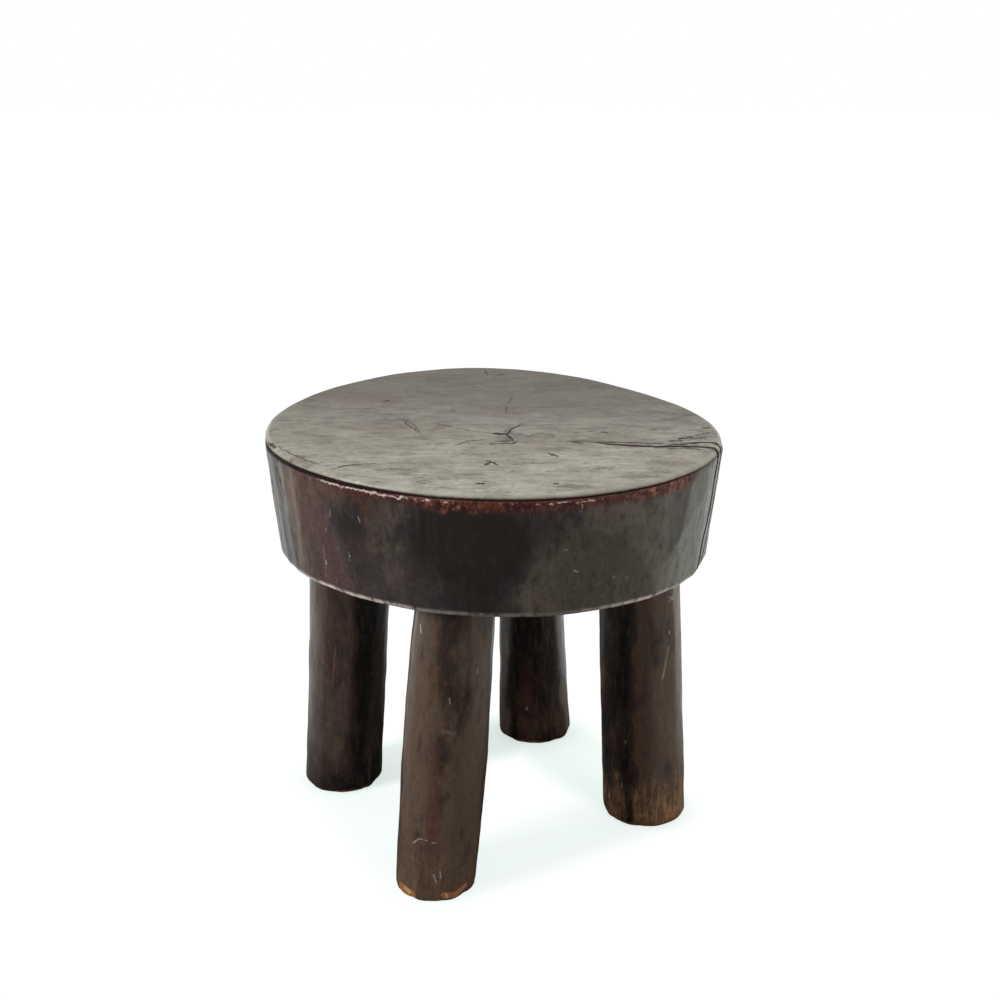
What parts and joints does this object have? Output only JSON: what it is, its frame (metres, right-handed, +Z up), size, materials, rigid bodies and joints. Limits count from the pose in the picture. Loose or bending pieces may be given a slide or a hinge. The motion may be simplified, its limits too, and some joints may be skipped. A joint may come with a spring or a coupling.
{
  "type": "stool",
  "caption": "Low hand-hewn wooden stool: a thick, slightly out-of-round seat slab with drying checks on round, gently splayed legs.",
  "frame": {"origin": "on the floor, under the middle of the box round the seat's outline", "axes": "+X to the right and +Y to the back as seen from the front, where the front leg stands; +Z up"},
  "size_m": [0.2769, 0.2804, 0.262],
  "materials": {
    "seat_wood": "smoked and waxed hardwood, end grain on top, worn to a dull grey sheen",
    "leg_wood": "smoked and waxed hardwood, long grain, shaved into long flats, semi-gloss"
  },
  "bodies": {
    "root": {"seat": "seat_wood", "leg_front": "leg_wood", "leg_left": "leg_wood", "leg_right": "leg_wood", "leg_rear": "leg_wood"}
  },
  "joints": []
}
